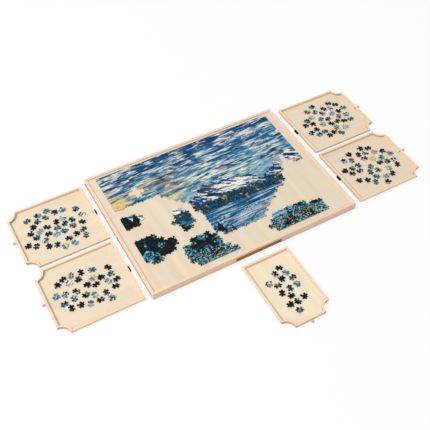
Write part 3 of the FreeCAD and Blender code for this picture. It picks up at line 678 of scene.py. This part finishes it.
# A pale far range, and the near one with lit snow and blue shade.
def paintRanges(u, slanted, height, image):
    haze = rise(brush("haze", slanted, height), *picture["haze"])
    far = blendColour(haze, picture["farShade"], picture["farLight"])
    image = blendColour(inRange(u, height, "farRange", "farJags"), image, far)
    tilted = scaled(height, picture["tilt"], u)
    lit = calc("SUBTRACT", brush("lit", tilted, height), brush("unlit", tilted, height))
    lit = scaled(lit, picture["relief"], 0.5)
    snow = colourSteps(lit, picture["snow"])
    snow = paint(snow, brush("rocks", tilted, height), "rock")
    glow = times(rise(lit, *picture["peakLit"]), rise(height, *picture["peakHeight"]))
    snow = overlay(snow, glow, picture["peakGlowShare"], picture["peakGlow"])
    return blendColour(inRange(u, height, "nearRange", "nearJags"), image, snow)


# Wooded hills with golden larches.
def paintHills(u, height, image):
    needles = brush("needles", u, height)
    groves = rise(brush("larches", u, height), *picture["larchGroves"])
    larches = times(groves, rise(needles, *picture["larchNeedles"]))
    trees = blendColour(larches, colourSteps(needles, picture["trees"]), picture["larch"])
    hills = scaled(brush("hills", u), picture["hillRise"], picture["hillFoot"])
    hills = scaled(peaks(u, picture["spires"]), picture["spireRise"], hills)
    return blendColour(calc("LESS_THAN", height, hills), image, trees)


# Water: the mirrored view, deepened, with bright and dim level ripples.
def paintWater(u, v, wet, image):
    water = blendColour(picture["depth"], image, picture["water"])
    water = paint(water, brush("brights", u, v), "bright")
    water = paint(water, brush("dims", u, v), "dim")
    return blendColour(wet, image, water)


# Near slopes of dark firs on both sides, with a flowered bank at their foot.
def paintSlopes(place, u, v, boughs, image):
    firs = times(peaks(u, picture["firs"]), times(brush("firs", u), picture["firRise"]))
    sides = [scaled(u, *picture[side]) for side in ("leftSlope", "rightSlope")]
    slope = calc("MAXIMUM", calc("MAXIMUM", *sides), picture["slopeFoot"])
    slope = calc("ADD", slope, firs)
    shade = scaled(v, picture["shadeSlant"], brush("shade", u, v))
    dark = paint(colourSteps(boughs, picture["boughs"]), shade, "shade")
    image = blendColour(calc("LESS_THAN", v, slope), image, dark)
    petals = addNode("ShaderNodeTexVoronoi", (place, picture["petals"]),
                     ("Vector", "Scale")).outputs
    flowers = calc("LESS_THAN", petals["Distance"], picture["petalReach"])
    bank = times(brush("bank", u), picture["bankRise"])
    flowers = times(flowers, calc("LESS_THAN", v, bank))
    kind = splitXyz(petals["Color"])[0]
    return blendColour(flowers, image, colourSteps(kind, picture["petalTones"], hard=True))


linen = {"threads": 9000.0, "smoothest": 0.54, "roughRange": 0.12, "shine": 0.08, "bump": 0.25,
         "bumpHeight": 0.00006}


# The whole picture as a satin print, pressed like linen. On the lake the height above the
# shore is mirrored and rippled.
def pictureMaterial():
    material, tree, shader = newMaterial("printedCard")
    spot = tree.nodes.new("ShaderNodeUVMap")
    spot.uv_map = "picture"
    place = spot.outputs[0]
    u, v, _ = splitXyz(vecCalc("MULTIPLY", place,
                               (1 / puzzle["length"], 1 / puzzle["width"], 0.0)))
    wet = calc("LESS_THAN", v, picture["shore"])
    ripples = calc("SUBTRACT", brush("ripples", u, v), 0.5)
    away = calc("ABSOLUTE", calc("SUBTRACT", v, picture["shore"]))
    mirrored = scaled(away, picture["mirror"],
                      scaled(ripples, picture["ripple"], picture["shore"]))
    height = scaled(wet, calc("SUBTRACT", mirrored, v), v)
    slanted = scaled(height, picture["slant"], u)
    boughs = brush("boughs", u, v)
    image = paintSky(u, slanted, height)
    image = paintRanges(u, slanted, height, image)
    image = paintHills(u, height, image)
    image = paintWater(u, v, wet, image)
    image = paintSlopes(place, u, v, boughs, image)
    threads = (linen["threads"], linen["threads"], 0.0)
    weaveX, weaveY, _ = splitXyz(vecCalc("MULTIPLY", place, threads))
    weave = times(calc("SINE", weaveX), calc("SINE", weaveY))
    rough = scaled(boughs, linen["roughRange"], linen["smoothest"])
    applyFinish(shader, linen, image, rough, weave)
    return material


greyCard = {"pulp": (2400.0, 3.0, 0.6), "layers": ((300.0, 300.0, 5000.0), 2.0),
            "pulpShare": 0.6, "tones": [(0.3, tone(112, 106, 98)), (0.7, tone(164, 156, 144))],
            "rough": 0.9, "shine": 0.5, "bump": 0.5, "bumpHeight": 0.0001}


def greyCardMaterial():
    material, tree, shader = newMaterial("greyCard")
    place = onObject(tree)
    pulp = cloud(place, *greyCard["pulp"])
    layers = streaks(place, *greyCard["layers"])
    share = scaled(pulp, greyCard["pulpShare"], times(layers, 1 - greyCard["pulpShare"]))
    colour = colourSteps(share, greyCard["tones"])
    applyFinish(shader, greyCard, colour, greyCard["rough"], pulp)
    return material


cardMaterials = [pictureMaterial(), greyCardMaterial()]


# Cards as one mesh: the print runs over the top and its rounded rim, and the rest is grey.
def addPieces(name, outlines, mapPoints, floor, node, body):
    rings = cardRings(outlines, floor)
    uv = np.repeat(mapPoints[:, None], rings.shape[1], axis=1)
    piece = loftPiece(name, rings, cardMaterials, wallKinds=[1, 0], endKinds=(1, 0), smooth=False,
                      uv=uv)
    fit(piece, body, node)


chosen = np.nonzero(joined.reshape(-1))[0]
outlines = pieceOutlines(tabs.reshape(-1, 4)[chosen], strays.reshape(-1, 4)[chosen])
onPicture = cutWave(outlines + cellMiddles.reshape(-1, 1, 2)[chosen])
addPieces("assembled_pieces", onPicture + puzzle["corner"], onPicture,
          puzzle["boardTop"], "assembled_puzzle", "case")
print("joined pieces laid on the board")

# Loose pieces: staggered rows in an ellipse in each tray, strewn about and eased apart until
# their middles keep the spacing, with all of them clear of the tray's rails.
scatter = {"along": 0.033, "across": 0.0285, "stray": 0.011, "railWidth": 0.007,
           "rowsEachWay": 5, "tabReach": 0.0041, "slack": 0.0002, "railGap": 0.001, "rounds": 80,
           "mixSeed": 4, "darkLean": 0.6, "bankTop": 0.12}
# Kinds of loose pieces: a tab or a socket on their front, right, back and left.
tabSides = ((0, 1, 0, 1), (0, 1, 1, 0), (1, 0, 1, 0), (0, 1, 1, 1))


def looseSpots(tray):
    chance = random.Random(tray["seed"])
    wide = tray["size"][0] / 2 - scatter["railWidth"] - tray["margins"][0]
    deep = tray["size"][1] / 2 - scatter["railWidth"] - tray["margins"][1]
    tilt = math.radians(tray["tilt"])
    spots = []
    steps = range(-scatter["rowsEachWay"], scatter["rowsEachWay"] + 1)
    for row in steps:
        for column in steps:
            alongRow = (column + 0.5 * (row % 2)) * scatter["along"]
            acrossRow = row * scatter["across"]
            x = alongRow * math.cos(tilt) - acrossRow * math.sin(tilt)
            y = alongRow * math.sin(tilt) + acrossRow * math.cos(tilt)
            shiftX = chance.uniform(-scatter["stray"], scatter["stray"])
            shiftY = chance.uniform(-scatter["stray"], scatter["stray"])
            turn = chance.uniform(0, 360)
            kind = chance.randrange(4)
            if (x / wide) ** 2 + (y / deep) ** 2 <= 1:
                spots.append([x + shiftX, y + shiftY, turn, kind])
    reach = max(cellLength, cellWidth) / 2 + scatter["tabReach"]
    border = scatter["railWidth"] + scatter["railGap"] + reach
    limits = [side / 2 - border for side in tray["size"]]
    easeApart(spots, 2 * reach + scatter["slack"], limits)
    return np.array(spots) + np.array([tray["size"][0] / 2, 0, 0, 0])


# Pairs that are too near move apart by half of what they lack each, round after round.
def easeApart(spots, spacing, limits):
    for _ in range(scatter["rounds"]):
        for index, spot in enumerate(spots):
            for other in spots[:index]:
                way = (spot[0] - other[0], spot[1] - other[1])
                apart = math.hypot(way[0], way[1])
                if apart < spacing:
                    push = 0.5 * (spacing - apart) / apart
                    for axis in (0, 1):
                        spot[axis] += push * way[axis]
                        other[axis] -= push * way[axis]
        for spot in spots:
            for axis in (0, 1):
                spot[axis] = max(-limits[axis], min(limits[axis], spot[axis]))


# Loose pieces carry picture from cells that aren't joined yet, more of the dark slopes than not,
# and all of them are mixed over the trays.
for tray in trays.values():
    tray["spots"] = looseSpots(tray)
looseCount = sum(len(tray["spots"]) for tray in trays.values())
spare = np.nonzero(~joined.reshape(-1))[0]
slopes = [steep * across + start
          for steep, start in (picture["leftSlope"], picture["rightSlope"])]
onSlope = ((along < np.maximum(*slopes)) & (along > scatter["bankTop"])).reshape(-1)
spare = spare[np.argsort(chance.random(len(spare)) - scatter["darkLean"] * onSlope[spare])]
spare = np.random.default_rng(scatter["mixSeed"]).permutation(spare[:looseCount])
used = 0
for name, tray in trays.items():
    spots = tray["spots"]
    count = len(spots)
    kinds = np.array(tabSides)[spots[:, 3].astype(int)] * 2.0 - 1.0
    sizes = 1 + puzzle["tabVary"] * chance.uniform(-1, 1, kinds.shape)
    slides = puzzle["tabStray"] * chance.uniform(-1, 1, kinds.shape)
    shapes = pieceOutlines(kinds * sizes, slides)
    cells = cellMiddles.reshape(-1, 1, 2)[spare[used:used + count]]
    used += count
    strewn = turnFlat(shapes, np.radians(spots[:, 2])[:, None]) + spots[:, None, :2]
    placed = turnFlat(strewn, math.radians(tray["turn"])) + tray["base"]
    addPieces(name + "_loose", placed, shapes + cells, tray["top"], name + "_loose_pieces", name)
print("loose pieces scattered:", used)


# A profile of reach and radius turned about X: every radius becomes a ring of points, evenly
# spaced by angle.
def turnedRings(profile, around):
    angle = np.linspace(0, 2 * math.pi, around, endpoint=False)
    reach, radius = profile
    return np.stack([np.repeat(reach[:, None], around, 1), radius[:, None] * np.cos(angle),
                     radius[:, None] * np.sin(angle)], -1)


# Sets rings drawn in a tray's own frame, with X out of the case, where the tray stands.
def inTray(rings, tray, lift):
    flat = turnFlat(rings, math.radians(tray["turn"])) + tray["base"]
    return np.concatenate([flat, rings[..., 2:] + lift], -1)


knob = {"length": 0.012, "foot": 0.0036, "neck": 0.0027, "neckAt": 0.003, "belly": 0.005,
        "bellyAt": 0.0075, "ellipse": 0.00513, "domeHeight": 0.0003, "domeIn": 0.96,
        "toNeck": 9, "toBelly": 13, "toTip": 13, "onDome": 7, "around": 40}


# The radius falls from foot to neck and swells to the belly by half a cosine each, then closes
# along a quarter ellipse, and the tip is a flat dome.
def knobProfile():
    tip = knob["length"] - knob["domeHeight"] - knob["bellyAt"]
    reach = np.concatenate([
        np.linspace(0, knob["neckAt"], knob["toNeck"])[:-1],
        np.linspace(knob["neckAt"], knob["bellyAt"], knob["toBelly"])[:-1],
        knob["bellyAt"] + tip * np.sin(np.linspace(0, math.pi / 2, knob["toTip"]))])
    toNeck = 0.5 + 0.5 * np.cos(np.pi * np.clip(reach / knob["neckAt"], 0, 1))
    toBelly = 0.5 - 0.5 * np.cos(np.pi * np.clip((reach - knob["neckAt"])
                                                 / (knob["bellyAt"] - knob["neckAt"]), 0, 1))
    radius = knob["neck"] + (knob["foot"] - knob["neck"]) * toNeck
    radius = radius + (knob["belly"] - knob["neck"]) * toBelly
    past = np.clip((reach - knob["bellyAt"]) / knob["ellipse"], 0, 1)
    radius = radius * np.sqrt(1 - past ** 2)
    dome = np.linspace(0, 1, knob["onDome"])[1:]
    reach = np.concatenate([reach, reach[-1] + knob["domeHeight"] * np.sin(dome * math.pi / 2)])
    radius = np.concatenate([radius, radius[-1] * (1 - knob["domeIn"] * dome)])
    return reach, radius


knobFinish = {"grain": {"Light": tone(238, 200, 170), "Dark": tone(208, 156, 122), "Band": 0.004,
                        "Line": 0.0011, "Figure": 0.8, "Pores": 0.4},
              "worn": tone(186, 136, 104), "edgeReach": 0.0004, "smudge": 0.5, "rough": 0.42,
              "polish": 0.2, "shine": 0.5, "bump": 0.3, "bumpHeight": 0.0001}


def knobMaterial():
    material, tree, shader = newMaterial("knobWood")
    place = onObject(tree)
    grain = useGroup(tree, grainGroup, Place=place, **knobFinish["grain"])
    edge, smudge = wear(tree, place, knobFinish)
    colour = blendColour(smudge, grain["Colour"], knobFinish["worn"])
    rough = scaled(smudge, -knobFinish["polish"], knobFinish["rough"])
    applyFinish(shader, knobFinish, colour, rough, grain["Height"], edge["Normal"])
    return material


screw = {"headRadius": 0.003, "headHeight": 0.0015, "centre": 0.00012, "crossField": 0.0024,
         "onField": 20, "headSteps": (0.0027, 0.0029), "domeRadius": 0.00303, "domeShare": 0.6,
         "shankRadius": 0.0013, "tipRadius": 0.001, "tipLength": 0.0008, "run": 0.014,
         "crossHalf": 0.0004, "crossReach": 0.0017, "crossDeep": 0.0009, "sideFade": 0.00012,
         "endFade": 0.0006, "around": 64}


# A pan head domed as a flat ellipse, with a cross pressed into it: the dip is full within half
# the cross's width of either arm, and fades out towards the arm's end.
def screwRings():
    head = np.concatenate([np.linspace(screw["centre"], screw["crossField"], screw["onField"]),
                           screw["headSteps"], [screw["headRadius"]]])
    dome = screw["headHeight"] * (1 - np.sqrt(1 - (head / screw["domeRadius"]) ** 2))
    under = screw["headHeight"]
    tip = under + screw["run"]
    reach = np.concatenate([dome * screw["domeShare"],
                            [under, under, tip - screw["tipLength"], tip]])
    radius = np.concatenate([head, [screw["headRadius"], screw["shankRadius"],
                                    screw["shankRadius"], screw["tipRadius"]]])
    rings = turnedRings((reach, radius), screw["around"])
    offY, offZ = np.abs(rings[..., 1]), np.abs(rings[..., 2])
    narrow = np.clip((screw["crossHalf"] - np.minimum(offY, offZ)) / screw["sideFade"], 0, 1)
    within = np.clip((screw["crossReach"] - np.maximum(offY, offZ)) / screw["endFade"], 0, 1)
    dip = screw["crossDeep"] * narrow * within
    dip[len(head):] = 0
    rings[..., 0] += dip
    return rings


# A block with every edge rounded: level by level a rounded outline, drawn in by the same
# quarter circle at its top and bottom.
def blockRings(low, high, radius, steps=5):
    low, high = np.array(low), np.array(high)
    turn = np.linspace(0, math.pi / 2, steps)
    drop = radius * (1 - np.cos(turn))
    lift = np.concatenate([low[2] + drop, high[2] - drop[::-1]])
    shrink = radius * (1 - np.concatenate([np.sin(turn), np.sin(turn[::-1])]))
    corner = np.array([(1, -1), (1, 1), (-1, 1), (-1, -1)])
    angle = (np.arange(4) * math.pi / 2 - math.pi / 2)[:, None] + turn
    middle = (low[:2] + high[:2]) / 2
    half = (high[:2] - low[:2]) / 2 - radius
    arc = np.stack([np.cos(angle), np.sin(angle)], -1)
    core = (corner * half)[:, None]
    outline = middle + core + arc * (radius - shrink)[:, None, None, None]
    outline = outline.reshape(len(lift), -1, 2)
    return np.concatenate([outline, np.repeat(lift[:, None], outline.shape[1], 1)[..., None]], -1)


# The smooth finishes: metal is brushed along X, and plastic is pebbled.
metalFinish = {"metal": 1.0, "grit": ((300.0, 6000.0, 6000.0), 3.0), "edge": tone(226, 220, 208),
               "edgeShare": 0.5, "edgeReach": 0.0003, "smudge": 0.6, "rough": 0.3,
               "roughRange": 0.25, "shine": 0.5, "bump": 0.2, "bumpHeight": 0.00003}
plasticFinish = {"metal": 0.0, "grit": ((2600.0, 2600.0, 2600.0), 2.0), "edge": tone(30, 30, 30),
                 "edgeShare": 0.4, "edgeReach": 0.0005, "smudge": 0.7, "rough": 0.5,
                 "roughRange": 0.2, "shine": 0.2, "bump": 0.3, "bumpHeight": 0.00004}


def smoothMaterial(name, finish, clean, worn):
    material, tree, shader = newMaterial(name)
    place = onObject(tree)
    edge, smudge = wear(tree, place, finish)
    grit = streaks(place, *finish["grit"])
    colour = blendColour(smudge, clean, worn)
    colour = overlay(colour, edge["Worn"], finish["edgeShare"], finish["edge"])
    rough = scaled(grit, finish["roughRange"], finish["rough"])
    shader.inputs["Metallic"].default_value = finish["metal"]
    applyFinish(shader, finish, colour, rough, grit, edge["Normal"])
    return material


magnetLow, magnetHigh = np.array(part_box("right_back_tray_magnet"))
magnet = {"length": magnetHigh[1] - magnetLow[1], "depth": magnetHigh[0] - magnetLow[0],
          "low": magnetLow[2], "high": magnetHigh[2], "round": 0.0008}
halfMagnet = magnet["length"] / 2
magnetBlock = blockRings((-magnet["depth"], -halfMagnet, magnet["low"]),
                         (0, halfMagnet, magnet["high"]), magnet["round"])
knobTurned = turnedRings(knobProfile(), knob["around"])
panScrew = screwRings()
knobWood = knobMaterial()
screwMetal = smoothMaterial("yellowZinc", metalFinish, tone(176, 142, 96), tone(120, 92, 60))
plateMetal = smoothMaterial("platedSteel", metalFinish, tone(188, 188, 186), tone(150, 148, 144))
black = smoothMaterial("blackPlastic", plasticFinish, tone(4, 4, 5), tone(16, 16, 15))
dress("strike_plates", plateMetal)
dress("strike_plate_screws", screwMetal)


# A fitting on a tray, so far out from its base and so far up.
def addFitting(name, title, rings, out, lift, material, node):
    placed = inTray(rings + np.array([out, 0, 0]), trays[name], lift)
    fit(loftPiece(name + title, placed[None], [material]), name, name + node)


for name, tray in trays.items():
    end = tray["size"][0]
    inside = end - scatter["railWidth"] - screw["headHeight"]
    axis = sum(corner[2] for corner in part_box(name + "_knob")) / 2
    addFitting(name, "_turned_knob", knobTurned, end, axis, knobWood, "_knob")
    addFitting(name, "_pan_screw", panScrew, inside, axis, screwMetal, "_knob_screw")
print("knobs and their screws fitted")
for name in trays:
    if name + "_magnet" in nodes:
        addFitting(name, "_magnet_case", magnetBlock, 0, 0, black, "_magnet")
print("magnets fitted")


# The floor's tone under the case is a painted shade.
studio = {"floorHalf": 6.0, "floorDrop": 0.0003, "floorTone": 0.86, "floorRough": 0.9,
          "floorWhite": 0.8, "paintedShadeUnderCase": tone(234, 180, 128), "underEdge": 0.002,
          "caseHalf": -np.array(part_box("rim_rail_front")[0])[:2], "worldStrength": 0.58,
          "lampPower": 272, "lampFrom": (-4.51, 0.92, 5.21), "lampSize": 2.8}


def floorMaterial():
    material, tree, shader = newMaterial("paleFloor")
    shader.inputs["Roughness"].default_value = studio["floorRough"]
    shader.inputs["Specular IOR Level"].default_value = 0.0
    seen = seenByCamera(tree)
    # painted shade: under the case the floor is not white but dark and warm like the wood around
    # it, for the bays' shade and the wood's bounce light
    x, y, _ = splitXyz(onObject(tree))
    outX = calc("SUBTRACT", calc("ABSOLUTE", x), float(studio["caseHalf"][0]))
    outY = calc("SUBTRACT", calc("ABSOLUTE", y), float(studio["caseHalf"][1]))
    clear = rise(calc("MAXIMUM", outX, outY), -studio["underEdge"], 0.0)
    pale = blendColour(seen, (studio["floorTone"],) * 3 + (1.0,), (1.0, 1.0, 1.0, 1.0))
    feed(blendColour(clear, studio["paintedShadeUnderCase"], pale), shader.inputs["Base Color"])
    white = tree.nodes.new("ShaderNodeEmission").outputs[0]
    share = times(times(seen, studio["floorWhite"]), clear)
    both = addNode("ShaderNodeMixShader", (share, shader.outputs[0], white)).outputs[0]
    feed(both, tree.nodes["Material Output"].inputs[0])
    return material


half, level = studio["floorHalf"], -studio["floorDrop"]
floorMesh = bpy.data.meshes.new("floor")
floorMesh.from_pydata([(-half, -half, level), (half, -half, level), (half, half, level),
                       (-half, half, level)], [], [(0, 1, 2, 3)])
floorMesh.materials.append(floorMaterial())
floor = addObject("floor", floorMesh)
floor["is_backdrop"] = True

world = bpy.data.worlds.new("studio")
bpy.context.scene.world = world
world.use_nodes = True
tree = world.node_tree
background = tree.nodes["Background"]
background.inputs["Color"].default_value = (1, 1, 1, 1)
strength = scaled(seenByCamera(tree), 1 - studio["worldStrength"], studio["worldStrength"])
feed(strength, background.inputs["Strength"])


# Turns an object so that its own Z points back along a way, and sets it at a place.
def lookAlong(thing, back, place):
    back = np.array(back) / np.linalg.norm(back)
    side = np.cross((0, 0, 1), back)
    side = side / np.linalg.norm(side)
    turned = np.column_stack([side, np.cross(back, side), back, place])
    thing.matrix_world = Matrix(np.vstack([turned, (0, 0, 0, 1)]).tolist())


lamp = addObject("softbox", bpy.data.lights.new("softbox", "AREA"))
lamp.data.energy = studio["lampPower"]
lamp.data.size = studio["lampSize"]
lookAlong(lamp, studio["lampFrom"], studio["lampFrom"])

view = {"from": (-0.7959, -1.4090, 1.8105), "ahead": (0.31477, 0.56492, -0.76276), "lens": 59.08,
        "sensor": 36.0}
camera = addObject("camera", bpy.data.cameras.new("camera"))
camera.data.lens = view["lens"]
camera.data.sensor_width = view["sensor"]
lookAlong(camera, -np.array(view["ahead"]), view["from"])
bpy.context.scene.camera = camera
bpy.context.scene.view_settings.view_transform = "Standard"
print("floor, light and camera set")

sizes = {"cadBox": [list(map(float, cornerPoint)) for cornerPoint in cadBox],
         "visualBox": [list(map(float, cornerPoint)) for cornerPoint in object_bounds()]}
